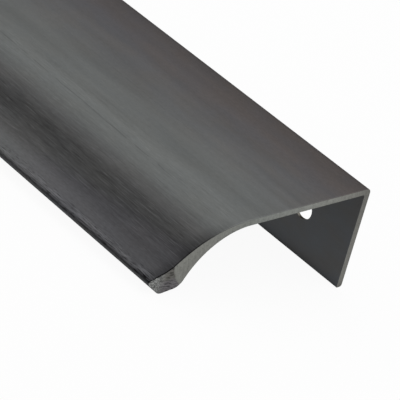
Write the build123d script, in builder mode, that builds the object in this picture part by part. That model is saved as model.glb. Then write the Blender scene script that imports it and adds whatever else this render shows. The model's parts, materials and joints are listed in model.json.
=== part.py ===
from build123d import *

import os
from math import asin, atan2, cos, degrees, hypot, radians, sin

# Furniture handle that is screwed behind the edge of a door or drawer front.
# It is one straight length of extruded aluminium, cut off square at both ends.
# Its section is drawn as it sits on the furniture: the back face of the flange is at 0,
# the lip points along the sketch's X, and the top of the plate is at a height of 0.
# The finished length stands unheld on its flange's foot and on the toe of its lip.

# Whole handle, in millimetres and degrees
handle_length = 185.0
handle_depth = 50.0
end_edge_break = 0.05

# Plate that lies on the edge of the front
plate_thickness = 1.2
back_edge_radius = 1.0

# Flange that is turned down behind the front
flange_height = 21.3
flange_thickness = 1.3
foot_front_radius = 0.2
foot_back_radius = 0.5
inner_corner_radius = 0.4

# Top of the grip: it curves down, then flares out onto the lip
crown_radius = 25.0
crown_angle = 38.6
hollow_radius = 6.8

# Underside of the grip, where the fingers go
finger_radius = 14.6
finger_angle = 62.7
heel_radius = 2.6

# Lip: a thick wedge with a sloping top, sole and front
lip_length = 3.8
lip_slope = 16.1
sole_slope = 5.5
front_slope = 42.6
toe_radius = 1.8
tip_radius = 0.45

# Screw holes, countersunk from the back of the flange
hole_radius = 2.1
countersink_radius = 2.8
countersink_angle = 90.0
hole_count = 2
hole_from_end = 12.5
hole_below_top = 11.8

# The rounded tip reaches the handle's depth, and its sharp corner would lie a little beyond
slope_sum = sin(radians(lip_slope + front_slope))
tip_corner_reach = (cos(radians(lip_slope)) + cos(radians(front_slope))) / slope_sum
tip_corner_x = handle_depth + tip_radius * (tip_corner_reach - 1)

# What the curves and the lip leave of the depth is flat
crown_width = crown_radius * sin(radians(crown_angle))
hollow_width = hollow_radius * (sin(radians(crown_angle)) - sin(radians(lip_slope)))
lip_width = lip_length * cos(radians(lip_slope))
flat_depth = tip_corner_x - lip_width - hollow_width - crown_width

# Corners of the sharp section
back_corner = Vector(0, 0)
foot_back = Vector(0, -flange_height)
foot_front = Vector(flange_thickness, -flange_height)
inner_corner = Vector(flange_thickness, -plate_thickness)
front_direction = Vector(-cos(radians(front_slope)), -sin(radians(front_slope)))
sole_direction = Vector(cos(radians(sole_slope)), -sin(radians(sole_slope)))

# Top, underside and front of the grip, each arc tangent to the line or arc before it
with BuildLine() as grip:
    plate_top = Line(back_corner, (flat_depth, 0))
    crown = JernArc(plate_top @ 1, plate_top % 1, crown_radius, -crown_angle)
    hollow = JernArc(crown @ 1, crown % 1, hollow_radius, crown_angle - lip_slope)
    lip_top = PolarLine(hollow @ 1, lip_length, -lip_slope)
    plate_underside = Line(inner_corner, (flat_depth, -plate_thickness))
    finger_arc = JernArc(plate_underside @ 1, (1, 0), finger_radius, -finger_angle)
    heel = JernArc(finger_arc @ 1, finger_arc % 1, heel_radius, finger_angle - sole_slope)
    sole_guide = Line(heel @ 1, heel @ 1 + sole_direction * handle_depth, mode=Mode.PRIVATE)
    lip_front = IntersectingLine(lip_top @ 1, front_direction, sole_guide)
    lip_sole = Line(heel @ 1, lip_front @ 1)

tip_corner = lip_top @ 1
toe_corner = lip_front @ 1


def rounding_centre(corner, before, after, radius):
    """Centre of the arc that rounds a corner whose sides run off in the directions before and after."""
    half_angle = radians(before.get_angle(after)) / 2
    inwards = (before.normalized() + after.normalized()).normalized()
    return corner + inwards * (radius / sin(half_angle))


# The foot and the toe are the two rounded edges that the handle stands on
foot_centre = rounding_centre(foot_front, Vector(-1, 0), Vector(0, 1), foot_front_radius)
toe_centre = rounding_centre(toe_corner, sole_direction * -1, front_direction * -1, toe_radius)
tip_centre = rounding_centre(tip_corner, (lip_top % 1) * -1, front_direction, tip_radius)
foot_back_centre = rounding_centre(foot_back, Vector(1, 0), Vector(0, 1), foot_back_radius)

# Lean that puts both of them on the floor
span = toe_centre - foot_centre
radius_step = toe_radius - foot_front_radius
lean = degrees(atan2(span.Y, span.X) - asin(radius_step / hypot(span.X, span.Y)))
forwards = Vector(0, -cos(radians(lean)), -sin(radians(lean)))
upwards = Vector(0, -sin(radians(lean)), cos(radians(lean)))


def standing(point):
    """Place of a point of the section once the handle stands, with the back corner still at 0."""
    return forwards * point.X + upwards * point.Y


# The origin is on the floor, in the middle of the handle's length and depth
back_reach = standing(foot_back_centre).Y + foot_back_radius
front_reach = standing(tip_centre).Y - tip_radius
floor_drop = standing(foot_centre).Z - foot_front_radius
corner_place = Vector(handle_length / 2, -(back_reach + front_reach) / 2, -floor_drop)
section_plane = Plane(origin=corner_place, x_dir=forwards, z_dir=(-1, 0, 0))

# Back face of the flange, with the screw holes in a row along it
hole_row_place = corner_place - upwards * hole_below_top - Vector(handle_length / 2, 0, 0)
back_plane = Plane(origin=hole_row_place, x_dir=(1, 0, 0), z_dir=forwards * -1)
hole_spacing = (handle_length - 2 * hole_from_end) / (hole_count - 1)

corner_radii = [
    (back_corner, back_edge_radius),
    (foot_back, foot_back_radius),
    (foot_front, foot_front_radius),
    (inner_corner, inner_corner_radius),
    (tip_corner, tip_radius),
    (toe_corner, toe_radius),
]

with BuildPart() as handle_profile:
    with BuildSketch(section_plane) as section:
        with BuildLine():
            add(grip.line)
            Polyline(back_corner, foot_back, foot_front, inner_corner)
        make_face()
        for corner, radius in corner_radii:
            fillet(section.vertices().sort_by_distance(corner)[0], radius)
    extrude(amount=handle_length)
    chamfer(handle_profile.faces().filter_by(Axis.X).edges(), end_edge_break)
    with Locations(back_plane):
        with GridLocations(hole_spacing, 0, hole_count, 1):
            CounterSinkHole(hole_radius, countersink_radius, 2 * flange_thickness, countersink_angle)

handle_profile.part.label = "handle_profile"
print(f"lean {lean:.3f} degrees, flat {flat_depth:.2f} mm, holes {hole_spacing:.1f} mm apart")

os.makedirs("parts", exist_ok=True)
export_step(handle_profile.part, "parts/handle_profile.step")
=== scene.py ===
import json
from math import atan2, ceil, cos, pi, radians, sin, tan

import bpy
from mathutils import Matrix, Vector


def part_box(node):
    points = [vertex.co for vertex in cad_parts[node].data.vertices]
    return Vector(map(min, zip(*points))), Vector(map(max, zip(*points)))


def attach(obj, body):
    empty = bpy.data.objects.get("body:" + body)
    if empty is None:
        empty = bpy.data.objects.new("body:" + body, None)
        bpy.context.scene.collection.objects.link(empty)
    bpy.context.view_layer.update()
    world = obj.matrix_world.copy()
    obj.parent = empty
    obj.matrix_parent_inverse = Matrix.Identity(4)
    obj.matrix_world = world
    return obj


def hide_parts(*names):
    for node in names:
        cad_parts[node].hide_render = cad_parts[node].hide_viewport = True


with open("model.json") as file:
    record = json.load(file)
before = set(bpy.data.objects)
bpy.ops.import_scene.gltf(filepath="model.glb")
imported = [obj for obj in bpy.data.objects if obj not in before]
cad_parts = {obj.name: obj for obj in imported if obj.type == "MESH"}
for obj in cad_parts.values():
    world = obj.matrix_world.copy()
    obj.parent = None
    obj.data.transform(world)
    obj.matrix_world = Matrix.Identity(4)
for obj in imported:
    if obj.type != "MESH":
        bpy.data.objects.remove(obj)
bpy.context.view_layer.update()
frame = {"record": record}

# Looks of a furniture handle: one length of dark anodised aluminium profile, brushed along its top
# and sawn off square at both ends. Scene sizes are in metres, and those of the profile in millimetres.
MM = 0.001
BODY = "root"
NODE = "handle_profile"

# Section of the profile, in millimetres and degrees
HANDLE_DEPTH = 50.0
PLATE_THICKNESS = 1.2
BACK_EDGE_RADIUS = 1.0
FLANGE_HEIGHT = 21.3
FLANGE_THICKNESS = 1.3
FOOT_FRONT_RADIUS = 0.2
FOOT_BACK_RADIUS = 0.5
INNER_CORNER_RADIUS = 0.4
CROWN_RADIUS = 25.0
CROWN_ANGLE = 38.6
HOLLOW_RADIUS = 6.8
FINGER_RADIUS = 14.6
FINGER_ANGLE = 62.7
HEEL_RADIUS = 2.6
LIP_LENGTH = 3.8
LIP_SLOPE = 16.1
SOLE_SLOPE = 5.5
FRONT_SLOPE = 42.6
TOE_RADIUS = 1.8
TIP_RADIUS = 0.45
END_EDGE_BREAK = 0.05

# Screw holes: their bore, place and spacing are in the record
COUNTERSINK_RADIUS = 2.8
HOLE_SIDES = 64

# Fineness of the mesh: widest step round a bend, the same for a sharp corner, and how near
# to a bend a flat has its last edge loop, so that the flat itself shades as flat
BEND_STEP = 2.0
CORNER_STEP = 10.0
SHARP_CORNER = 0.6
FLAT_MARGIN = 0.05
END_ROUND_STEPS = 3


# Where the handle stands

def mount(name):
    """Place, axis and sizes of one of the record's mounts."""
    found = next(m for m in frame["record"]["mounts"] if m["name"] == name)
    return Vector(found["pos_m"]), Vector(found["axis"]).normalized(), found["dims"]


flange_place, forwards, _ = mount("flange_front_face")
plate_place, downwards, _ = mount("plate_underside")
hole_row_place, hole_axis, hole_sizes = mount("screw_holes")
upwards = -downwards
lengthwise = Vector((1, 0, 0))
node_low, node_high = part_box(NODE)
half_length = (node_high.x - node_low.x) / 2

# The section's origin is its sharp back corner, where the flange's back and the plate's top would meet
corner_place = (
    forwards * (flange_place.dot(forwards) - FLANGE_THICKNESS * MM)
    + upwards * (plate_place.dot(upwards) + PLATE_THICKNESS * MM)
)


def standing(reach, height, along=0.0):
    """Place of a point of the section: reach and height in millimetres, along the handle in metres."""
    return corner_place + forwards * (reach * MM) + upwards * (height * MM) + lengthwise * along


# The row of screw holes, on the flange's back face
holes_apart = hole_sizes["pcd_mm"] * MM
hole_step = lengthwise * (holes_apart / (hole_sizes["count"] - 1))
to_back_face = hole_axis * (corner_place - hole_row_place).dot(hole_axis)
first_hole = hole_row_place + to_back_face - lengthwise * (holes_apart / 2)


# Outline of the section, as a clockwise walk from the foot of the flange's back

def flat_depth():
    """Depth of the plate's flat, which is what the curves and the lip leave of the handle's depth."""
    slope_sum = sin(radians(LIP_SLOPE + FRONT_SLOPE))
    tip_corner_reach = (cos(radians(LIP_SLOPE)) + cos(radians(FRONT_SLOPE))) / slope_sum
    tip_corner = HANDLE_DEPTH + TIP_RADIUS * (tip_corner_reach - 1)
    crown_width = CROWN_RADIUS * sin(radians(CROWN_ANGLE))
    hollow_width = HOLLOW_RADIUS * (sin(radians(CROWN_ANGLE)) - sin(radians(LIP_SLOPE)))
    return tip_corner - LIP_LENGTH * cos(radians(LIP_SLOPE)) - hollow_width - crown_width


FLAT_DEPTH = flat_depth()
TIP_SETBACK = TIP_RADIUS / tan(radians(LIP_SLOPE + FRONT_SLOPE) / 2)

# A move is a straight run (name, length) or a bend (name, radius, turn).
# The two runs with no length go as far as the outline needs to close.
MOVES = [
    ("flange_back", FLANGE_HEIGHT - FOOT_BACK_RADIUS - BACK_EDGE_RADIUS),
    ("back_edge", BACK_EDGE_RADIUS, -90),
    ("plate_top", FLAT_DEPTH - BACK_EDGE_RADIUS),
    ("crown", CROWN_RADIUS, -CROWN_ANGLE),
    ("hollow", HOLLOW_RADIUS, CROWN_ANGLE - LIP_SLOPE),
    ("lip_top", LIP_LENGTH - TIP_SETBACK),
    ("tip", TIP_RADIUS, LIP_SLOPE + FRONT_SLOPE - 180),
    ("lip_front", None),
    ("toe", TOE_RADIUS, -FRONT_SLOPE - SOLE_SLOPE),
    ("lip_sole", None),
    ("heel", HEEL_RADIUS, SOLE_SLOPE - FINGER_ANGLE),
    ("finger_arc", FINGER_RADIUS, FINGER_ANGLE),
    ("plate_underside", FLAT_DEPTH - FLANGE_THICKNESS - INNER_CORNER_RADIUS),
    ("inner_corner", INNER_CORNER_RADIUS, 90),
    ("flange_front", FLANGE_HEIGHT - PLATE_THICKNESS - INNER_CORNER_RADIUS - FOOT_FRONT_RADIUS),
    ("foot_front", FOOT_FRONT_RADIUS, -90),
    ("foot", FLANGE_THICKNESS - FOOT_FRONT_RADIUS - FOOT_BACK_RADIUS),
    ("foot_back", FOOT_BACK_RADIUS, -90),
]
WALK_START = Vector((0, FOOT_BACK_RADIUS - FLANGE_HEIGHT))
WALK_HEADING = 90.0


def pointing(heading):
    """Unit vector of the section's plane, from an angle in degrees."""
    return Vector((cos(radians(heading)), sin(radians(heading))))


def round_bend(radius, turn, heading):
    """Step from the start of a bend to the place where it has turned that far."""
    to_centre = 90 if turn > 0 else -90
    return (pointing(heading + to_centre) - pointing(heading + turn + to_centre)) * radius


def closed_moves():
    """The moves with the two open runs worked out, so that the walk ends where it began."""
    heading = WALK_HEADING
    walked = Vector((0, 0))
    open_ways = []
    for move in MOVES:
        if len(move) == 3:
            walked += round_bend(move[1], move[2], heading)
            heading += move[2]
        elif move[1] is None:
            open_ways.append(pointing(heading))
        else:
            walked += pointing(heading) * move[1]
    first, second = open_ways
    spread = first.cross(second)
    lengths = [second.cross(walked) / spread, walked.cross(first) / spread]
    return [(move[0], lengths.pop(0)) if move[1] is None else move for move in MOVES]


def section_outline():
    """Points round the section as (place, outward normal, distance walked), and where each move starts."""
    points = []
    starts = {}
    place, heading, walked = WALK_START.copy(), WALK_HEADING, 0.0
    for move in closed_moves():
        name, size = move[:2]
        starts[name] = walked
        if len(move) == 2:
            way = pointing(heading)
            margin = min(FLAT_MARGIN, size / 3)
            for step in (margin, size - margin):
                points.append((place + way * step, pointing(heading + 90), walked + step))
            place = place + way * size
            walked += size
            continue
        turn = move[2]
        step_count = ceil(abs(turn) / (BEND_STEP if size > SHARP_CORNER else CORNER_STEP))
        for step in range(step_count + 1):
            part = turn * step / step_count
            spot = place + round_bend(size, part, heading)
            if not points or (points[-1][0] - spot).length > FLAT_MARGIN / 2:
                points.append((spot, pointing(heading + part + 90), walked + abs(radians(part)) * size))
        place = place + round_bend(size, turn, heading)
        heading += turn
        walked += abs(radians(turn)) * size
    starts["end"] = walked
    return points, starts


OUTLINE, WALK_TO = section_outline()


# The profile's own mesh: the outline run along the length, with a fine round broken on the end edges

def stations():
    """Places along the handle as (distance from its middle in metres, how far the outline is drawn in)."""
    end = half_length / MM
    rounding = []
    for step in range(END_ROUND_STEPS + 1):
        angle = radians(90) * step / END_ROUND_STEPS
        along = end - END_EDGE_BREAK * (1 - cos(angle))
        rounding.append((along * MM, END_EDGE_BREAK * (1 - sin(angle))))
    rounding.append(((end - END_EDGE_BREAK - FLAT_MARGIN) * MM, 0.0))
    return rounding + [(-along, inset) for along, inset in reversed(rounding)]


def profile_mesh():
    """Closed mesh of the whole profile without its screw holes."""
    places = []
    rows = stations()
    for along, inset in rows:
        for spot, outward, _ in OUTLINE:
            drawn_in = spot - outward * inset
            places.append(standing(drawn_in.x, drawn_in.y, along))
    count = len(OUTLINE)
    faces = [list(range(count))[::-1], [count * (len(rows) - 1) + i for i in range(count)]]
    for row in range(len(rows) - 1):
        for i in range(count):
            j = (i + 1) % count
            faces.append([row * count + i, row * count + j, (row + 1) * count + j, (row + 1) * count + i])
    mesh = bpy.data.meshes.new("profile_blank")
    mesh.from_pydata(places, [], faces)
    mesh.update()
    return mesh


# Node helpers, for shader and geometry trees alike

def add_node(tree, kind, feeds=None, **settings):
    """A node with its settings made, and its inputs linked where a socket is given or else set."""
    made = tree.nodes.new(kind)
    for name, value in settings.items():
        setattr(made, name, value)
    for socket, value in (feeds or {}).items():
        if isinstance(value, bpy.types.NodeSocket):
            tree.links.new(value, made.inputs[socket])
        else:
            made.inputs[socket].default_value = value
    return made


def math(tree, operation, *values):
    """Output of a Math node."""
    return add_node(tree, "ShaderNodeMath", dict(enumerate(values)), operation=operation).outputs[0]


def product(tree, first, second):
    """One value times another."""
    return math(tree, "MULTIPLY", first, second)


def vector_math(tree, operation, *values, output="Vector"):
    """Output of a Vector Math node."""
    made = add_node(tree, "ShaderNodeVectorMath", dict(enumerate(values)), operation=operation)
    return made.outputs[output]


def ramp(tree, value, low, high, to_low=0.0, to_high=1.0):
    """Value brought smoothly from one range to another."""
    feeds = {"Value": value, "From Min": low, "From Max": high, "To Min": to_low, "To Max": to_high}
    return add_node(tree, "ShaderNodeMapRange", feeds, interpolation_type="SMOOTHSTEP").outputs[0]


def mix_colour(tree, share, first, second):
    """Output of a colour mix."""
    feeds = {0: share, 6: first, 7: second}
    return add_node(tree, "ShaderNodeMix", feeds, data_type="RGBA", clamp_factor=True).outputs[2]


def scaled(tree, colour, factor):
    """Colour or vector times a factor."""
    return add_node(tree, "ShaderNodeVectorMath", {0: colour, "Scale": factor}, operation="SCALE").outputs[0]


def colour_ramp(tree, value, stops):
    """Output of a smooth colour ramp with stops (place, colour)."""
    made = add_node(tree, "ShaderNodeValToRGB", {0: value})
    made.color_ramp.interpolation = "B_SPLINE"
    elements = made.color_ramp.elements
    for place, colour in stops[1:-1]:
        elements.new(place).color = colour
    for element, (place, colour) in ((elements[0], stops[0]), (elements[len(stops) - 1], stops[-1])):
        element.position, element.color = place, colour
    return made.outputs[0]


def grey(level, tint=(1.0, 1.0, 1.0)):
    """Opaque colour of one level, slightly tinted."""
    return tuple(level * part for part in tint) + (1.0,)


# Two kinds of socket that a group can have
NUMBER = "NodeSocketFloat"
VECTOR = "NodeSocketVector"


def new_group(name, kind, inputs, outputs):
    """Node group with named sockets. Returns its tree, the values given to it and its result's sockets."""
    tree = bpy.data.node_groups.new(name, kind)
    for label, socket_type, default in inputs:
        socket = tree.interface.new_socket(label, in_out="INPUT", socket_type=socket_type)
        if default is not None:
            socket.default_value = default
    for label, socket_type in outputs:
        tree.interface.new_socket(label, in_out="OUTPUT", socket_type=socket_type)
    given = tree.nodes.new("NodeGroupInput").outputs
    result = tree.nodes.new("NodeGroupOutput").inputs
    return tree, given, result


# Screw holes, drilled by Geometry Nodes: a row of drills is cut away, then the ends get their finish

# A face is part of a sawn end if it faces along the handle, this near to the end in millimetres
END_FACING = 0.99
END_ZONE = 0.5


def drilling_tree():
    """Geometry Nodes tree that drills the row of countersunk holes and gives faces their finish."""
    inputs = [
        ("Geometry", "NodeSocketGeometry", None),
        ("First Hole", VECTOR, None),
        ("Hole Step", VECTOR, None),
        ("Hole Count", "NodeSocketInt", 2),
        ("Drill Turn", VECTOR, None),
        ("Bore Radius", NUMBER, 0.0021),
        ("Countersink Radius", NUMBER, 0.0028),
        ("Wall", NUMBER, 0.0013),
        ("End Place", NUMBER, 0.092),
        ("Sides", "NodeSocketInt", 64),
        ("Side Finish", "NodeSocketMaterial", None),
        ("End Finish", "NodeSocketMaterial", None),
    ]
    tree, given, result = new_group(
        "drilled_and_finished", "GeometryNodeTree", inputs, [("Geometry", "NodeSocketGeometry")]
    )
    depth = product(tree, given["Wall"], 4.0)
    bore = add_node(tree, "GeometryNodeMeshCylinder", {
        "Vertices": given["Sides"], "Radius": given["Bore Radius"], "Depth": depth,
    })
    # The countersink's drill is a right-angled cone that goes on past the flange, to twice the width
    mouth = product(tree, given["Countersink Radius"], 2.0)
    sink = add_node(tree, "GeometryNodeMeshCone", {
        "Vertices": given["Sides"], "Radius Top": mouth, "Radius Bottom": 0.0, "Depth": mouth,
    })
    drop = product(tree, given["Countersink Radius"], -1.0)
    sink_place = add_node(tree, "ShaderNodeCombineXYZ", {"Z": drop})
    sink_set = add_node(tree, "GeometryNodeTransform", {
        "Geometry": sink.outputs["Mesh"], "Translation": sink_place.outputs[0],
    })
    row = add_node(tree, "GeometryNodeMeshLine", {
        "Count": given["Hole Count"],
        "Start Location": given["First Hole"],
        "Offset": given["Hole Step"],
    }, mode="OFFSET")
    drilled = given["Geometry"]
    for drill in (bore.outputs["Mesh"], sink_set.outputs["Geometry"]):
        on_row = add_node(tree, "GeometryNodeInstanceOnPoints", {
            "Points": row.outputs["Mesh"], "Instance": drill, "Rotation": given["Drill Turn"],
        })
        tool = add_node(tree, "GeometryNodeRealizeInstances", {"Geometry": on_row.outputs["Instances"]})
        drilled = add_node(tree, "GeometryNodeMeshBoolean", {
            0: drilled, 1: tool.outputs[0],
        }, operation="DIFFERENCE", solver="EXACT").outputs["Mesh"]
    realized = add_node(tree, "GeometryNodeRealizeInstances", {"Geometry": drilled})
    sides = add_node(tree, "GeometryNodeSetMaterial", {
        "Geometry": realized.outputs[0], "Material": given["Side Finish"],
    })
    normal = add_node(tree, "GeometryNodeInputNormal")
    facing = add_node(tree, "ShaderNodeSeparateXYZ", {0: normal.outputs[0]})
    faces_along = math(tree, "GREATER_THAN", math(tree, "ABSOLUTE", facing.outputs["X"]), END_FACING)
    position = add_node(tree, "GeometryNodeInputPosition")
    place = add_node(tree, "ShaderNodeSeparateXYZ", {0: position.outputs[0]})
    from_middle = math(tree, "ABSOLUTE", place.outputs["X"])
    at_end = math(tree, "GREATER_THAN", from_middle, given["End Place"])
    ends = add_node(tree, "GeometryNodeSetMaterial", {
        "Geometry": sides.outputs[0], "Selection": product(tree, faces_along, at_end),
        "Material": given["End Finish"],
    })
    tree.links.new(ends.outputs[0], result[0])
    return tree


def drilled_handle(side_finish, end_finish):
    """The finished piece: the profile's mesh, drilled, as a plain mesh."""
    blank = bpy.data.objects.new("profile_blank", profile_mesh())
    bpy.context.scene.collection.objects.link(blank)
    values = {
        "First Hole": first_hole,
        "Hole Step": hole_step,
        "Hole Count": hole_sizes["count"],
        "Drill Turn": Vector((0, 0, 1)).rotation_difference(hole_axis).to_euler(),
        "Bore Radius": hole_sizes["hole_r_mm"] * MM,
        "Countersink Radius": COUNTERSINK_RADIUS * MM,
        "Wall": FLANGE_THICKNESS * MM,
        "End Place": half_length - END_ZONE * MM,
        "Sides": HOLE_SIDES,
        "Side Finish": side_finish,
        "End Finish": end_finish,
    }
    drilling = blank.modifiers.new("drilling", "NODES")
    drilling.node_group = drilling_tree()
    for socket in drilling.node_group.interface.items_tree:
        if socket.in_out == "INPUT" and socket.name in values:
            drilling[socket.identifier] = values[socket.name]
    bpy.context.view_layer.update()
    evaluated = blank.evaluated_get(bpy.context.evaluated_depsgraph_get())
    mesh = bpy.data.meshes.new_from_object(evaluated)
    blank.modifiers.remove(drilling)
    bpy.data.objects.remove(blank)
    mesh.name = "handle"
    handle = bpy.data.objects.new("handle", mesh)
    bpy.context.scene.collection.objects.link(handle)
    return handle


# The unrolled sheet: a UV map in metres, round the section in U and along the handle in V

SHEET = "sheet"
# The walls of the screw holes lie this far before the section's start on the sheet, in millimetres
HOLE_WALL_FROM = 3.0
# Only the walls face across the hole's axis, less than this along it
WALL_FACING = 0.9
SHARP_ANGLE = 30.0


def nearest_walk(reach, height):
    """Distance walked round the outline, in millimetres, to its point that is nearest to a place."""
    spot = Vector((reach, height))
    best, walked = None, 0.0
    count = len(OUTLINE)
    for i in range(count):
        start, _, start_walk = OUTLINE[i]
        end, _, end_walk = OUTLINE[(i + 1) % count]
        if end_walk < start_walk:
            end_walk += WALK_TO["end"]
        way = end - start
        share = max(0.0, min(1.0, (spot - start).dot(way) / way.length_squared))
        gap = (start + way * share - spot).length
        if best is None or gap < best:
            best, walked = gap, start_walk + (end_walk - start_walk) * share
    return walked


def is_end(face):
    """Whether a face lies in one of the two sawn ends."""
    return abs(face.normal.x) > END_FACING and abs(face.center.x) > half_length - END_ZONE * MM


def hole_of(face):
    """Middle of the screw hole that a face is the wall of, or nothing."""
    for step in range(hole_sizes["count"]):
        middle = first_hole + hole_step * step
        away = face.center - middle
        off_axis = (away - hole_axis * away.dot(hole_axis)).length
        if off_axis < COUNTERSINK_RADIUS * MM and abs(face.normal.dot(hole_axis)) < WALL_FACING:
            return middle
    return None


def hole_wall_place(spot, middle, turn_near):
    """Sheet place of a point of a hole's wall: before the section's start in U, round the hole in V."""
    away = spot - middle
    turn = atan2(away.dot(upwards), away.x)
    turn -= 2 * pi * round((turn - turn_near) / (2 * pi))
    return away.dot(hole_axis) - HOLE_WALL_FROM * MM, turn * hole_sizes["hole_r_mm"] * MM


def unroll(mesh):
    """Gives the mesh its sheet map. The two ends keep the section's own reach and height."""
    sheet = mesh.uv_layers.new(name=SHEET)
    in_section = []
    walks = []
    for vertex in mesh.vertices:
        away = vertex.co - corner_place
        reach, height = away.dot(forwards) / MM, away.dot(upwards) / MM
        in_section.append((reach, height))
        walks.append(nearest_walk(reach, height))
    total = WALK_TO["end"]
    for face in mesh.polygons:
        hole = hole_of(face)
        if hole:
            away = face.center - hole
            turn_near = atan2(away.dot(upwards), away.x)
        face_walks = [walks[v] for v in face.vertices]
        wraps = max(face_walks) - min(face_walks) > total / 2
        for loop, vertex in zip(face.loop_indices, face.vertices):
            if is_end(face):
                reach, height = in_section[vertex]
                sheet.data[loop].uv = (reach * MM, height * MM)
            elif hole:
                sheet.data[loop].uv = hole_wall_place(mesh.vertices[vertex].co, hole, turn_near)
            else:
                walk = walks[vertex]
                if wraps and walk < total / 2:
                    walk += total
                sheet.data[loop].uv = (walk * MM, mesh.vertices[vertex].co.x)


def set_shading(mesh):
    """Flat ends, smooth sides, sharp rims."""
    for face in mesh.polygons:
        face.use_smooth = not is_end(face)
    mesh.set_sharp_from_angle(angle=radians(SHARP_ANGLE))


# Shared finishes, as shader groups

def streaks_group():
    """Long streaks on the sheet, from 0 to 1 about 0.5: brushed grain, saw lines or stretched mottling."""
    inputs = [
        ("Sheet", VECTOR, None),
        ("Width", NUMBER, 0.0003),
        ("Length", NUMBER, 0.012),
        ("Turn", NUMBER, 0.0),
        ("Roughness", NUMBER, 0.5),
        ("Seed", NUMBER, 0.0),
    ]
    tree, given, result = new_group("streaks", "ShaderNodeTree", inputs, [("Streaks", NUMBER)])
    turned = add_node(tree, "ShaderNodeVectorRotate", {
        "Vector": given["Sheet"], "Angle": given["Turn"],
    }, rotation_type="Z_AXIS").outputs[0]
    size = add_node(tree, "ShaderNodeCombineXYZ", {0: given["Width"], 1: given["Length"], 2: 1.0})
    shift = add_node(tree, "ShaderNodeCombineXYZ", {2: given["Seed"]})
    spot = vector_math(tree, "ADD", vector_math(tree, "DIVIDE", turned, size.outputs[0]), shift.outputs[0])
    noise = add_node(tree, "ShaderNodeTexNoise", {
        "Vector": spot, "Scale": 1.0, "Detail": 2.0, "Roughness": given["Roughness"],
    })
    tree.links.new(noise.outputs["Fac"], result[0])
    return tree


def strokes_group(streaks):
    """Short separate strokes: 0 between them and 1 on them. A higher threshold leaves fewer."""
    inputs = [
        ("Sheet", VECTOR, None),
        ("Width", NUMBER, 0.0003),
        ("Length", NUMBER, 0.004),
        ("Turn", NUMBER, 0.0),
        ("Threshold", NUMBER, 0.6),
        ("Softness", NUMBER, 0.1),
        ("Seed", NUMBER, 0.0),
    ]
    tree, given, result = new_group("short_strokes", "ShaderNodeTree", inputs, [("Strokes", NUMBER)])
    values = {name: given[name.title()] for name in ("width", "length", "turn", "seed")}
    noise = use_group(tree, streaks, given["Sheet"], roughness=0.35, **values)
    full = math(tree, "ADD", given["Threshold"], given["Softness"])
    tree.links.new(ramp(tree, noise, given["Threshold"], full), result[0])
    return tree


def wear_group(streaks):
    """Worn, speckled edge: 0 away from the edge, and patches up to 1 near it."""
    inputs = [
        ("Sheet", VECTOR, None),
        ("Nearness", NUMBER, 0.0),
        ("Patch Size", NUMBER, 0.0003),
        ("Patch Length", NUMBER, 0.0009),
        ("Seed", NUMBER, 0.0),
    ]
    tree, given, result = new_group("edge_wear", "ShaderNodeTree", inputs, [("Wear", NUMBER)])
    patches = use_group(
        tree, streaks, given["Sheet"], width=given["Patch Size"], length=given["Patch Length"],
        roughness=0.7, seed=given["Seed"],
    )
    closeness = product(tree, given["Nearness"], 0.4)
    tree.links.new(ramp(tree, math(tree, "ADD", patches, closeness), 0.72, 1.0), result[0])
    return tree


def scratch_group():
    """One long straight scratch on the sheet: 1 on it, broken here and there, and 0 away from it."""
    inputs = [
        ("Sheet", VECTOR, None),
        ("Start", VECTOR, None),
        ("End", VECTOR, None),
        ("Width", NUMBER, 0.0001),
        ("Waver", NUMBER, 0.0001),
    ]
    tree, given, result = new_group("long_scratch", "ShaderNodeTree", inputs, [("Scratch", NUMBER)])
    way = vector_math(tree, "SUBTRACT", given["End"], given["Start"])
    away = vector_math(tree, "SUBTRACT", given["Sheet"], given["Start"])
    length_squared = vector_math(tree, "DOT_PRODUCT", way, way, output="Value")
    share = math(tree, "DIVIDE", vector_math(tree, "DOT_PRODUCT", away, way, output="Value"), length_squared)
    off_line = vector_math(tree, "SUBTRACT", away, scaled(tree, way, share))
    wavering = {"W": share, "Scale": 9.0, "Detail": 1.0}
    waver = add_node(tree, "ShaderNodeTexNoise", wavering, noise_dimensions="1D")
    drift = product(tree, math(tree, "SUBTRACT", waver.outputs["Fac"], 0.5), given["Waver"])
    sideways = add_node(tree, "ShaderNodeSeparateXYZ", {0: off_line}).outputs["X"]
    gap = math(tree, "ABSOLUTE", math(tree, "ADD", sideways, drift))
    core = product(tree, given["Width"], 0.4)
    line = ramp(tree, gap, core, given["Width"], 1.0, 0.0)
    begun = ramp(tree, share, 0.0, 0.06)
    not_over = ramp(tree, share, 0.9, 1.0, 1.0, 0.0)
    length_used = product(tree, begun, not_over)
    breaking = {"W": share, "Scale": 17.0, "Detail": 0.0}
    breaks = add_node(tree, "ShaderNodeTexNoise", breaking, noise_dimensions="1D")
    broken = ramp(tree, breaks.outputs["Fac"], 0.25, 0.5)
    seen = product(tree, length_used, product(tree, line, broken))
    tree.links.new(seen, result[0])
    return tree


def use_group(tree, group, sheet, **values):
    """Output of a shared finish, placed on the sheet with its own values."""
    feeds = {name.replace("_", " ").title(): value for name, value in values.items()}
    return add_node(tree, "ShaderNodeGroup", dict(feeds, Sheet=sheet), node_tree=group).outputs[0]


streaks = streaks_group()
strokes = strokes_group(streaks)
edge_wear = wear_group(streaks)
long_scratch = scratch_group()


def new_material(name):
    """Empty node material. Returns the material, its tree, its shader and the sheet's coordinates."""
    material = bpy.data.materials.new(name)
    material.use_nodes = True
    tree = material.node_tree
    sheet = add_node(tree, "ShaderNodeUVMap", uv_map=SHEET).outputs[0]
    axes = add_node(tree, "ShaderNodeSeparateXYZ", {0: sheet})
    return material, tree, tree.nodes["Principled BSDF"], sheet, axes.outputs["X"], axes.outputs["Y"]


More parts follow.
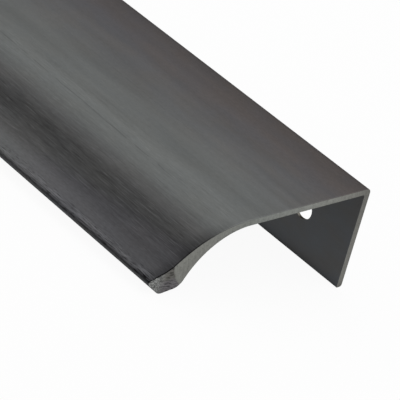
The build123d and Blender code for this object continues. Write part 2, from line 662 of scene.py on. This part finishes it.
def lightness(tree, *layers):
    """One factor from several layers: (mask, strength), or (mask, strength, 0.5) if 0.5 changes nothing."""
    total = 1.0
    for mask, strength, *middle in layers:
        if middle:
            mask = math(tree, "SUBTRACT", mask, middle[0])
        total = math(tree, "ADD", total, product(tree, mask, strength))
    return total


# Dark anodised finish of all sides: brushed on top, plain beneath and behind

TOP_TONE = 0.105
PLAIN_TONE = grey(0.103, (0.975, 1.0, 1.025))
# The walls of the screw holes: painted shade, and a painted glint on one side
HOLE_PAINTED_SHADE_TONE = grey(0.012, (1.3, 1.0, 0.65))
HOLE_PAINTED_GLINT_TONE = grey(0.13, (1.05, 1.0, 0.88))
WARM = (1.08, 0.965, 0.945)
ROSY = (1.06, 0.978, 0.99)
PINKISH = (1.01, 0.99, 1.0)
NEUTRAL = (1.0, 1.0, 1.0)
GREENISH = (0.972, 1.014, 0.996)
COOL = (0.985, 1.0, 1.0)
VIOLET = (1.0, 0.985, 1.04)

# The brushed top's tone drifts across it, and its levels are painted reflection bands and painted shade:
# distance from the back corner in millimetres, level and tint
TOP_TONES_WITH_PAINTED_LIGHT = [
    (1.0, 0.49, WARM),
    (5.0, 0.665, WARM),
    (8.5, 0.69, ROSY),
    (12.5, 0.775, PINKISH),
    (18.0, 0.885, NEUTRAL),
    (24.0, 1.0, GREENISH),
    (32.0, 1.02, GREENISH),
    (36.0, 0.95, GREENISH),
    (38.5, 1.02, NEUTRAL),
    (40.3, 1.12, NEUTRAL),
    (42.2, 0.88, NEUTRAL),
    (44.5, 0.86, NEUTRAL),
    (47.0, 1.28, NEUTRAL),
    (48.4, 0.93, COOL),
    (49.8, 1.18, COOL),
    (51.2, 0.63, COOL),
]
# The brushing begins on the round of the back edge, between these distances along it in millimetres
BRUSHING_BEGINS = (0.2, 1.0)
# Where things begin or fade across the top: start and end of the change, in millimetres from the back corner
# The back edge's darker line, which fades out here, is painted shade
PAINTED_BACK_SHADE_FADES = (0.8, 1.6)
BACK_FLECKS_FADE = (1.2, 3.5)
BACK_PART_FADES = (8.0, 17.0)
DRIFT_FADES = (10.0, 26.0)
CROWN_BEGINS = (27.0, 32.0)
STEEP_PART_BEGINS = (37.5, 42.0)
STEEP_PART_FADES = (45.5, 47.5)
LIP_BEGINS = (44.5, 47.5)
TIP_BEGINS = (49.0, 50.8)
# The dark band past the tip's worn line is painted shade
PAINTED_TIP_SHADE_BEGINS = (51.2, 51.7)
# Painted shade and the painted line of highlight and shade beside the ends change across the top here
PAINTED_END_SHADE_BEGINS = (30.0, 38.0)
PAINTED_END_LINE_DARKENS = (34.0, 41.0)
# How far from the end its painted line of highlight and shade begins and is full, and how far its painted
# shade reaches, in millimetres
PAINTED_END_LINE = (0.3, 0.12)
PAINTED_END_SHADE_REACH = 3.0

# Slow, faint drift of the dye's tint, stronger near the back edge
DRIFT_ONE = (1.03, 1.0, 0.97)
DRIFT_TWO = (0.97, 0.995, 1.03)
# Towards the end in the photo the dye took a violet tint, past a line that slants across the lip.
# Towards the other end the warm tint near the back edge turns rose. Both change along the handle, in metres.
VIOLET_FROM_CORNER = 40.5
VIOLET_SLANT = 0.11
VIOLET_FADE = 3.0
VIOLET_BEGINS = (0.045, 0.065)
ROSE = (0.97, 1.0, 1.035)
ROSE_FADES = (0.027, 0.047)
# The lip darkens slowly towards the same end, between these places along the handle
LIP_DARKENS = (0.03, 0.1)
# Fine scratches almost along the handle, a long one on the crown and a fainter one on the flat: distance from
# the back corner and slant in millimetres, start and end along the handle in metres, and change of lightness
SCRATCHES = [
    (32.4, 0.9, 0.022, 0.079, -0.25),
    (19.7, 0.3, 0.035, 0.067, -0.12),
]
# The walls of the screw holes end here on the sheet, in millimetres from the start of the flange's back.
# They are painted dark as shade, and turn to a painted glint between these shares of the half turn from their
# +X side.
HOLE_WALLS_END = (-2.0, -1.0)
HOLE_PAINTED_GLINT = (0.54, 0.66)
SATIN_ROUGHNESS = 0.34
BRUSHED_ONE_WAY = 0.5
GROOVE_DEPTH = 0.02
# Colour that the metal keeps at its edges as seen
EDGE_TINT = grey(0.6)


def walk(name, further=0.0):
    """Sheet place, in metres, of the start of one of the outline's moves, or of a place further on."""
    return (WALK_TO[name] + further) * MM


def from_corner(distance):
    """Sheet place, in metres, of a distance in millimetres across the top from the sharp back corner."""
    return walk("plate_top", distance - BACK_EDGE_RADIUS)


def across_top(tree, round_way, change, before=0.0, after=1.0):
    """Value that changes smoothly across the top, where change is one of the pairs above."""
    start, end = change
    return ramp(tree, round_way, from_corner(start), from_corner(end), before, after)


def top_parts(tree, round_way):
    """Masks of parts of the top. The first fades from the back, and the others begin and last to the tip."""
    return {
        "back": across_top(tree, round_way, BACK_PART_FADES, 1.0, 0.0),
        "crown": across_top(tree, round_way, CROWN_BEGINS),
        "steep": across_top(tree, round_way, STEEP_PART_BEGINS),
        "lip": across_top(tree, round_way, LIP_BEGINS),
    }


def top_tone_with_painted_light(tree, round_way):
    """Tone of the brushed top as it drifts across it, with painted reflection bands and painted shade in its
    levels.
    """
    top_width = walk("lip_front") - walk("plate_top")
    across = add_node(tree, "ShaderNodeMapRange", {
        "Value": round_way, "From Min": walk("plate_top"), "From Max": walk("lip_front"),
    }).outputs[0]
    stops = [((from_corner(mm) - walk("plate_top")) / top_width, grey(TOP_TONE * level, tint))
             for mm, level, tint in TOP_TONES_WITH_PAINTED_LIGHT]
    return colour_ramp(tree, across, stops)


def brushed_grain(tree, sheet, parts, fine, middle):
    """Lightness of the brushed streaks and strokes, which are strongest on the top's steep part."""
    broad = use_group(tree, streaks, sheet, width=0.0025, length=0.03, seed=9.0)
    dark_strokes = use_group(tree, strokes, sheet, width=0.0004, length=0.005, threshold=0.6, seed=3.0)
    light_strokes = use_group(tree, strokes, sheet, width=0.00016, length=0.003, threshold=0.58, seed=7.0)
    short = use_group(tree, streaks, sheet, width=0.0003, length=0.001, seed=21.0)
    grain = lightness(
        tree, (fine, 0.1, 0.5), (middle, 0.08, 0.5), (dark_strokes, -0.03), (light_strokes, 0.045)
    )
    grain_strength = lightness(tree, (parts["crown"], 2.0), (parts["steep"], 3.3), (parts["lip"], -4.0))
    grain_change = product(tree, math(tree, "SUBTRACT", grain, 1.0), grain_strength)
    broad_strength = lightness(
        tree, (parts["back"], -0.4), (parts["crown"], -0.15), (parts["steep"], 0.7), (parts["lip"], -0.85)
    )
    broad_change = product(tree, math(tree, "SUBTRACT", broad, 0.5), broad_strength)
    short_strength = lightness(tree, (parts["back"], 0.4), (parts["lip"], 1.0))
    short_change = product(tree, math(tree, "SUBTRACT", short, 0.5), short_strength)
    return lightness(tree, (grain_change, 1.0), (broad_change, 0.45), (short_change, 0.25))


def tip_wear_and_painted_shade(tree, sheet, round_way, brushed, middle):
    """Layers of the lip's tip: a light worn line with nicks in it, and past it a dark uneven band of painted
    shade.
    """
    near_tip = product(tree, across_top(tree, round_way, TIP_BEGINS), brushed)
    worn_line = use_group(
        tree, edge_wear, sheet, nearness=near_tip, patch_size=0.00016, patch_length=0.0042, seed=11.0
    )
    nicks = use_group(tree, strokes, sheet, width=0.0002, length=0.0018, threshold=0.54, seed=13.0)
    tip_nicks = product(tree, nicks, near_tip)
    uneven_way = math(tree, "MULTIPLY_ADD", middle, 0.0008, round_way)
    painted_dark_tip_band = across_top(tree, uneven_way, PAINTED_TIP_SHADE_BEGINS)
    return [(worn_line, 0.75), (tip_nicks, -0.6), (painted_dark_tip_band, -0.4)]


def back_edge_shade_and_flecks(tree, sheet, round_way):
    """Layers of the back edge: a darker line that is painted shade, and light flecks beside it."""
    painted_back_edge_shade = across_top(tree, round_way, PAINTED_BACK_SHADE_FADES, 1.0, 0.0)
    flecks = use_group(tree, strokes, sheet, width=0.0002, length=0.0007, threshold=0.58, seed=19.0)
    beside_line = across_top(tree, round_way, BACK_FLECKS_FADE, 1.0, 0.0)
    return [(painted_back_edge_shade, -0.15), (product(tree, flecks, beside_line), 0.15)]


def grip_marks(tree, sheet, round_way, along, parts):
    """Layers of the grip: bright strokes on its steep part, and the lip's slow darkening along the handle."""
    bright_strokes = use_group(
        tree, strokes, sheet, width=0.00016, length=0.007, threshold=0.61, softness=0.05, seed=23.0
    )
    before_lip = across_top(tree, round_way, STEEP_PART_FADES, 1.0, 0.0)
    on_steep_only = product(tree, parts["steep"], before_lip)
    steep_strokes = product(tree, bright_strokes, on_steep_only)
    lip_drift = product(tree, parts["lip"], ramp(tree, along, *LIP_DARKENS, 0.5, -0.5))
    return [(steep_strokes, 0.36), (lip_drift, 0.5)]


def painted_end_light_and_shade(tree, round_way, from_middle):
    """Layers beside the sawn ends, all painted light: a fine line, a painted highlight behind and painted
    shade in front, and a soft painted shade in front.
    """
    line_from, line_full = (half_length - inset * MM for inset in PAINTED_END_LINE)
    at_rim = ramp(tree, from_middle, line_from, line_full)
    painted_end_line = product(tree, at_rim, across_top(tree, round_way, PAINTED_END_LINE_DARKENS, 0.2, -0.4))
    near_end = ramp(tree, from_middle, half_length - PAINTED_END_SHADE_REACH * MM, half_length)
    painted_end_shade = product(tree, near_end, across_top(tree, round_way, PAINTED_END_SHADE_BEGINS))
    return [(painted_end_line, 1.0), (painted_end_shade, -0.32)]


def scratch_marks(tree, sheet):
    """Layers of the fine scratches."""
    layers = []
    for distance, slant, start, end, change in SCRATCHES:
        line = use_group(
            tree, long_scratch, sheet, start=(from_corner(distance), start, 0.0),
            end=(from_corner(distance + slant), end, 0.0), width=0.00013, waver=0.0004,
        )
        layers.append((line, change))
    return layers


def dyed(tree, round_way, along, near_back, shade, drift):
    """The top's shade with the tints that the dye took: violet, rose and the slow drift."""
    slanted_way = math(tree, "MULTIPLY_ADD", along, VIOLET_SLANT, round_way)
    violet_from = from_corner(VIOLET_FROM_CORNER) + VIOLET_SLANT * half_length
    past_line = ramp(tree, slanted_way, violet_from, violet_from + VIOLET_FADE * MM)
    violet_place = product(tree, past_line, ramp(tree, along, *VIOLET_BEGINS))
    violet = mix_colour(tree, violet_place, shade, vector_math(tree, "MULTIPLY", shade, VIOLET))
    rose_place = product(tree, near_back, ramp(tree, along, *ROSE_FADES, 1.0, 0.0))
    rose = mix_colour(tree, rose_place, violet, vector_math(tree, "MULTIPLY", violet, ROSE))
    drift_share = across_top(tree, round_way, DRIFT_FADES, 0.7, 0.2)
    return mix_colour(tree, drift_share, rose, vector_math(tree, "MULTIPLY", rose, drift))


def plain_finish(tree, round_way, from_middle, drift, clouds, fine):
    """Tone of the underside and the flange, and of the walls of the screw holes, which are painted dark as
    shade with a painted glint on one side.
    """
    last_wall, first_side = (walk("flange_back", further) for further in HOLE_WALLS_END)
    in_hole = ramp(tree, round_way, last_wall, first_side, 1.0, 0.0)
    half_turn = pi * hole_sizes["hole_r_mm"] * MM
    glint_from, glint_full = (half_turn * share for share in HOLE_PAINTED_GLINT)
    painted_glint_side = ramp(tree, from_middle, glint_from, glint_full)
    hole_painted_shade_and_glint = mix_colour(tree, painted_glint_side, HOLE_PAINTED_SHADE_TONE, HOLE_PAINTED_GLINT_TONE)
    plain_shade = vector_math(tree, "MULTIPLY", PLAIN_TONE[:3], drift)
    unevenness = lightness(tree, (clouds, 0.25, 0.5), (fine, 0.1, 0.5))
    return scaled(tree, mix_colour(tree, in_hole, plain_shade, hole_painted_shade_and_glint), unevenness)


def anodised_sides():
    """Side finish. The sheet tells the brushed top from the plain underside and flange."""
    material, tree, shader, sheet, round_way, along = new_material("dark_anodised_brushed")
    from_middle = math(tree, "ABSOLUTE", along)
    top_starts = ramp(tree, round_way, *(walk("back_edge", further) for further in BRUSHING_BEGINS))
    top_ends = ramp(tree, round_way, walk("tip"), walk("lip_front"), 1.0, 0.0)
    brushed = product(tree, top_starts, top_ends)
    parts = top_parts(tree, round_way)
    fine = use_group(tree, streaks, sheet, width=0.0002, length=0.0035, seed=1.0)
    middle = use_group(tree, streaks, sheet, width=0.0006, length=0.009, seed=5.0)
    clouds = use_group(tree, streaks, sheet, width=0.004, length=0.009, seed=15.0)
    drift = mix_colour(tree, ramp(tree, clouds, 0.35, 0.65), DRIFT_ONE + (1.0,), DRIFT_TWO + (1.0,))

    grain = brushed_grain(tree, sheet, parts, fine, middle)
    # Wear and scratches, with painted shade and painted highlights at the tip, the back edge and the ends
    marks_and_painted_light = lightness(
        tree,
        *tip_wear_and_painted_shade(tree, sheet, round_way, brushed, middle),
        *back_edge_shade_and_flecks(tree, sheet, round_way),
        *grip_marks(tree, sheet, round_way, along, parts),
        *painted_end_light_and_shade(tree, round_way, from_middle),
        *scratch_marks(tree, sheet),
    )
    # The top's tone carries painted reflection bands and painted shade in its levels
    shade = dyed(tree, round_way, along, parts["back"], top_tone_with_painted_light(tree, round_way), drift)
    brushed_tone = scaled(tree, shade, product(tree, grain, marks_and_painted_light))
    plain_tone = plain_finish(tree, round_way, from_middle, drift, clouds, fine)
    tree.links.new(mix_colour(tree, brushed, plain_tone, brushed_tone), shader.inputs["Base Color"])

    shader.inputs["Metallic"].default_value = 1.0
    shader.inputs["Specular Tint"].default_value = EDGE_TINT
    shader.inputs["Anisotropic"].default_value = BRUSHED_ONE_WAY
    uneven = lightness(tree, (fine, 0.25, 0.5), (middle, 0.2, 0.5), (parts["lip"], 0.4))
    tree.links.new(product(tree, uneven, SATIN_ROUGHNESS), shader.inputs["Roughness"])
    tangent = add_node(tree, "ShaderNodeTangent", direction_type="UV_MAP", uv_map=SHEET)
    tree.links.new(tangent.outputs[0], shader.inputs["Tangent"])
    grooves = math(tree, "ADD", product(tree, fine, 0.3), middle)
    height = product(tree, grooves, brushed)
    bump = add_node(tree, "ShaderNodeBump", {"Height": height, "Distance": GROOVE_DEPTH * MM})
    tree.links.new(bump.outputs[0], shader.inputs["Normal"])
    return material


# Ends: the saw's marks under the same anodising, which shows lighter there

END_TONE = 0.17
STRAW = (1.03, 1.005, 0.925)
OLIVE = (1.0, 1.01, 0.93)
LEAF = (0.97, 1.015, 0.955)
PALE_LEAF = (0.985, 1.005, 0.975)
BROWN = (1.03, 1.0, 0.92)
PURPLE = (1.015, 0.975, 1.01)

# Tone along the end face, whose levels are painted reflection and painted shade: reach from the flange's back
# in millimetres, level and tint
END_TONES_WITH_PAINTED_LIGHT = [
    (0.0, 1.0, STRAW),
    (4.0, 1.36, OLIVE),
    (9.0, 1.56, OLIVE),
    (22.0, 1.56, LEAF),
    (29.0, 1.36, LEAF),
    (36.0, 1.37, OLIVE),
    (50.0, 1.45, OLIVE),
]
# Places on the end face, as start and end of a change in millimetres: heights are from the plate's top
# Down the flange the end face is painted lighter, a painted reflection, and at the foot darker, a painted
# shade
PAINTED_FLANGE_END_LIGHT = (-3.0, -14.0)
PAINTED_FOOT_SHADE = (-19.5, -21.0)
# The lip's end is darker outside a round line about a place of the section. The line wavers, and only
# the lip has it. The patch is pale and speckled near the tip, and its lower part has another tint.
LIP_PATCH_CENTRE = (38.3, -5.0)
LIP_PATCH_RADIUS = 6.5
LIP_PATCH_WAVER = 0.5
LIP_PATCH_SOFTNESS = 0.2
LIP_PATCH_REACHES = (38.0, 40.0)
LIP_PATCH_PALES = (45.8, 48.0)
LIP_PATCH_PURPLES = (-7.8, -8.8)
SAW_TURN = 0.3
SMEAR_TURN = 1.35
SAWN_ROUGHNESS = 0.36
SAW_MARK_DEPTH = 0.03


def end_change(tree, place, change):
    """Mask over the end face that changes between two places in millimetres."""
    start, end = change
    return ramp(tree, place, start * MM, end * MM)


def sawn_face(tree, sheet, reach, height, saw_lines, blotches):
    """Tone of the sawn face, with its fine saw lines, blotches and pits, and painted light: painted
    reflection in its levels and down the flange, and painted shade at the foot.
    """
    along_end = add_node(tree, "ShaderNodeMapRange", {
        "Value": reach, "From Min": 0.0, "From Max": HANDLE_DEPTH * MM,
    })
    stops = [(mm / HANDLE_DEPTH, grey(END_TONE * level, tint)) for mm, level, tint in END_TONES_WITH_PAINTED_LIGHT]
    shade = colour_ramp(tree, along_end.outputs[0], stops)
    pits = use_group(
        tree, strokes, sheet, width=0.0003, length=0.0004, threshold=0.62, softness=0.08, seed=10.0
    )
    painted_flange_light = end_change(tree, height, PAINTED_FLANGE_END_LIGHT)
    painted_foot_shade = end_change(tree, height, PAINTED_FOOT_SHADE)
    return scaled(tree, shade, lightness(
        tree, (saw_lines, 0.45, 0.5), (blotches, 0.6, 0.5), (pits, -0.3), (painted_flange_light, 0.17), (painted_foot_shade, -0.3)
    ))


def lip_patch_place(tree, sheet, reach, blotches):
    """Mask of the darker patch on the lip's end."""
    centre = tuple(size * MM for size in LIP_PATCH_CENTRE) + (0.0,)
    from_centre = vector_math(tree, "LENGTH", vector_math(tree, "SUBTRACT", sheet, centre), output="Value")
    drawn_in = math(tree, "SUBTRACT", from_centre, LIP_PATCH_WAVER / 2 * MM)
    wavy = math(tree, "MULTIPLY_ADD", blotches, LIP_PATCH_WAVER * MM, drawn_in)
    edge = (LIP_PATCH_RADIUS - LIP_PATCH_SOFTNESS, LIP_PATCH_RADIUS + LIP_PATCH_SOFTNESS)
    return product(tree, end_change(tree, wavy, edge), end_change(tree, reach, LIP_PATCH_REACHES))


def lip_patch_tone(tree, sheet, reach, height):
    """Tone of the darker patch, with smeared strokes and, near the tip, pale specks."""
    smears = use_group(
        tree, streaks, sheet, width=0.00022, length=0.0009, turn=SMEAR_TURN, roughness=0.6, seed=6.0
    )
    dark_smears = use_group(
        tree, strokes, sheet, width=0.0003, length=0.0016, turn=SMEAR_TURN, threshold=0.5, seed=8.0
    )
    specks = use_group(
        tree, strokes, sheet, width=0.00022, length=0.00035, turn=SMEAR_TURN, threshold=0.5, seed=12.0
    )
    to_tip = end_change(tree, reach, LIP_PATCH_PALES)
    speckled = product(tree, specks, to_tip)
    low_down = end_change(tree, height, LIP_PATCH_PURPLES)
    dark_part = mix_colour(tree, low_down, grey(END_TONE * 0.86, BROWN), grey(END_TONE * 0.94, PURPLE))
    shade = mix_colour(tree, to_tip, dark_part, grey(END_TONE * 1.06, PALE_LEAF))
    return scaled(
        tree, shade, lightness(tree, (smears, 1.8, 0.5), (dark_smears, -0.4), (speckled, 1.05))
    )


def sawn_end():
    """End finish: the sawn face, and the darker mottled patch on the lip."""
    material, tree, shader, sheet, reach, height = new_material("sawn_end_anodised")
    saw_lines = use_group(tree, streaks, sheet, width=0.00022, length=0.003, turn=SAW_TURN, seed=2.0)
    blotches = use_group(tree, streaks, sheet, width=0.0007, length=0.0009, seed=4.0)
    in_patch = lip_patch_place(tree, sheet, reach, blotches)
    sawn_tone = sawn_face(tree, sheet, reach, height, saw_lines, blotches)
    patch_tone = lip_patch_tone(tree, sheet, reach, height)
    tree.links.new(mix_colour(tree, in_patch, sawn_tone, patch_tone), shader.inputs["Base Color"])
    shader.inputs["Metallic"].default_value = 1.0
    shader.inputs["Specular Tint"].default_value = EDGE_TINT
    roughness = math(tree, "MULTIPLY_ADD", blotches, 0.2, SAWN_ROUGHNESS)
    tree.links.new(roughness, shader.inputs["Roughness"])
    bump = add_node(tree, "ShaderNodeBump", {"Height": saw_lines, "Distance": SAW_MARK_DEPTH * MM})
    tree.links.new(bump.outputs[0], shader.inputs["Normal"])
    return material


# Stage: a pale floor, a white surrounding, a soft lamp, and cards that only show in the metal

FLOOR_COLOUR = grey(0.85)
FLOOR_REACH = 6.0
FLOOR_WHITE_TO_CAMERA = 0.94
FLOOR_WHITE_IN_METAL = 0.6
PAINTED_CONTACT_SHADE_REACH = 0.002
SKY_LEVEL = 0.75


def link(made):
    """Adds an object to the scene."""
    bpy.context.scene.collection.objects.link(made)
    return made


def facing_handle(direction, distance):
    """Placement of a lamp or card that faces the handle from a direction."""
    away = Vector(direction).normalized()
    return Matrix.Translation(away * distance) @ away.to_track_quat("Z", "X").to_matrix().to_4x4()


def pale_floor():
    """Plain floor, which keeps the handle's shadow and shows pale in the metal, apart from close corners,
    where ambient occlusion paints a contact shade into the pale it shows.
    """
    mesh = bpy.data.meshes.new("floor")
    corners = [(x * FLOOR_REACH, y * FLOOR_REACH, 0) for x, y in ((-1, -1), (1, -1), (1, 1), (-1, 1))]
    mesh.from_pydata(corners, [], [(0, 1, 2, 3)])
    floor = link(bpy.data.objects.new("floor", mesh))
    material = bpy.data.materials.new("pale_floor")
    material.use_nodes = True
    tree = material.node_tree
    tree.nodes.clear()
    matt = add_node(tree, "ShaderNodeBsdfDiffuse", {"Color": FLOOR_COLOUR})
    white = add_node(tree, "ShaderNodeEmission", {"Color": grey(1.0), "Strength": 1.0})
    path = add_node(tree, "ShaderNodeLightPath")
    # Ambient occlusion dims the floor's glow in the metal near the handle: a painted contact shade
    painted_contact_shade = add_node(tree, "ShaderNodeAmbientOcclusion", {"Distance": PAINTED_CONTACT_SHADE_REACH}, samples=8)
    openness = painted_contact_shade.outputs["AO"]
    to_camera = product(tree, path.outputs["Is Camera Ray"], FLOOR_WHITE_TO_CAMERA)
    to_metal = product(tree, path.outputs["Is Glossy Ray"], FLOOR_WHITE_IN_METAL)
    share = math(tree, "MAXIMUM", to_camera, product(tree, to_metal, openness))
    both = add_node(tree, "ShaderNodeMixShader", {0: share, 1: matt.outputs[0], 2: white.outputs[0]})
    add_node(tree, "ShaderNodeOutputMaterial", {0: both.outputs[0]})
    mesh.materials.append(material)


def white_surrounding():
    """World that lights softly, and that shows white to the camera and in the metal."""
    world = bpy.data.worlds.new("white_surrounding")
    bpy.context.scene.world = world
    world.use_nodes = True
    tree = world.node_tree
    tree.nodes.clear()
    path = add_node(tree, "ShaderNodeLightPath")
    seen = math(tree, "MAXIMUM", path.outputs["Is Camera Ray"], path.outputs["Is Glossy Ray"])
    seen = math(tree, "MAXIMUM", seen, path.outputs["Is Transmission Ray"])
    light = add_node(tree, "ShaderNodeBackground", {"Color": grey(1.0), "Strength": SKY_LEVEL})
    white = add_node(tree, "ShaderNodeBackground", {"Color": grey(1.0), "Strength": 1.0})
    both = add_node(tree, "ShaderNodeMixShader", {0: seen, 1: light.outputs[0], 2: white.outputs[0]})
    add_node(tree, "ShaderNodeOutputWorld", {0: both.outputs[0]})


def soft_lamp(name, direction, distance, width, height, brightness):
    """Soft rectangular lamp. Its brightness is that of its face, where white is 1."""
    lamp = bpy.data.lights.new(name, "AREA")
    lamp.shape = "RECTANGLE"
    lamp.size, lamp.size_y = width, height
    lamp.energy = brightness * pi * width * height
    made = link(bpy.data.objects.new(name, lamp))
    made.matrix_world = facing_handle(direction, distance)
    made.visible_camera = False


def studio_card(name, direction, distance, width, height, level):
    """Grey card that only the metal shows, as the dark side of a studio."""
    mesh = bpy.data.meshes.new(name)
    placement = facing_handle(direction, distance)
    corners = [(x * width / 2, y * height / 2, 0) for x, y in ((-1, -1), (1, -1), (1, 1), (-1, 1))]
    mesh.from_pydata([placement @ Vector(corner) for corner in corners], [], [(0, 1, 2, 3)])
    material = bpy.data.materials.new(name)
    material.use_nodes = True
    tree = material.node_tree
    tree.nodes.clear()
    tone = add_node(tree, "ShaderNodeEmission", {"Color": grey(level), "Strength": 1.0})
    add_node(tree, "ShaderNodeOutputMaterial", {0: tone.outputs[0]})
    mesh.materials.append(material)
    card = link(bpy.data.objects.new(name, mesh))
    for ray in ("camera", "diffuse", "transmission", "volume_scatter", "shadow"):
        setattr(card, "visible_" + ray, False)


# Camera of the photograph: the point of the handle's end that it looks at, and from where

AIM = Vector((0.07441, 0.00065, 0.00749))
VIEW_DISTANCE = 0.42479
VIEW_AZIMUTH = 38.060
VIEW_ELEVATION = 20.196
VIEW_ROLL = 24.251
FOCAL_PIXELS = 2398.18
PICTURE_PIXELS = 400
SENSOR_WIDTH = 36.0


def photograph_camera():
    """Camera at the photograph's place and angle."""
    lens = bpy.data.cameras.new("camera")
    lens.sensor_width = SENSOR_WIDTH
    lens.lens = FOCAL_PIXELS / PICTURE_PIXELS * SENSOR_WIDTH
    lens.clip_start, lens.clip_end = 0.01, 50.0
    camera = link(bpy.data.objects.new("camera", lens))
    turn_round = Matrix.Rotation(radians(VIEW_AZIMUTH), 4, "Z")
    tilt_down = Matrix.Rotation(radians(90 - VIEW_ELEVATION), 4, "X")
    roll = Matrix.Rotation(radians(VIEW_ROLL), 4, "Z")
    step_back = Matrix.Translation((0, 0, VIEW_DISTANCE))
    camera.matrix_world = Matrix.Translation(AIM) @ turn_round @ tilt_down @ roll @ step_back
    bpy.context.scene.camera = camera


photograph_camera()
pale_floor()
white_surrounding()
soft_lamp(
    "lamp_behind", direction=(-0.1, 0.41, 0.9), distance=1.0, width=0.6, height=2.2, brightness=0.75
)
studio_card(
    "card_in_front", direction=(0.0, -0.36, 0.93), distance=0.8, width=0.38, height=2.6, level=0.2
)
studio_card(
    "card_low_in_front", direction=(0.0, -0.95, 0.3), distance=0.8, width=0.5, height=2.6, level=0.05
)
studio_card(
    "card_at_right", direction=(0.78, -0.12, 0.61), distance=0.9, width=1.0, height=0.6, level=0.05
)

handle = drilled_handle(anodised_sides(), sawn_end())
unroll(handle.data)
set_shading(handle.data)
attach(handle, BODY)
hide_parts(NODE)

bpy.context.scene.view_settings.view_transform = "Standard"
bpy.context.view_layer.update()
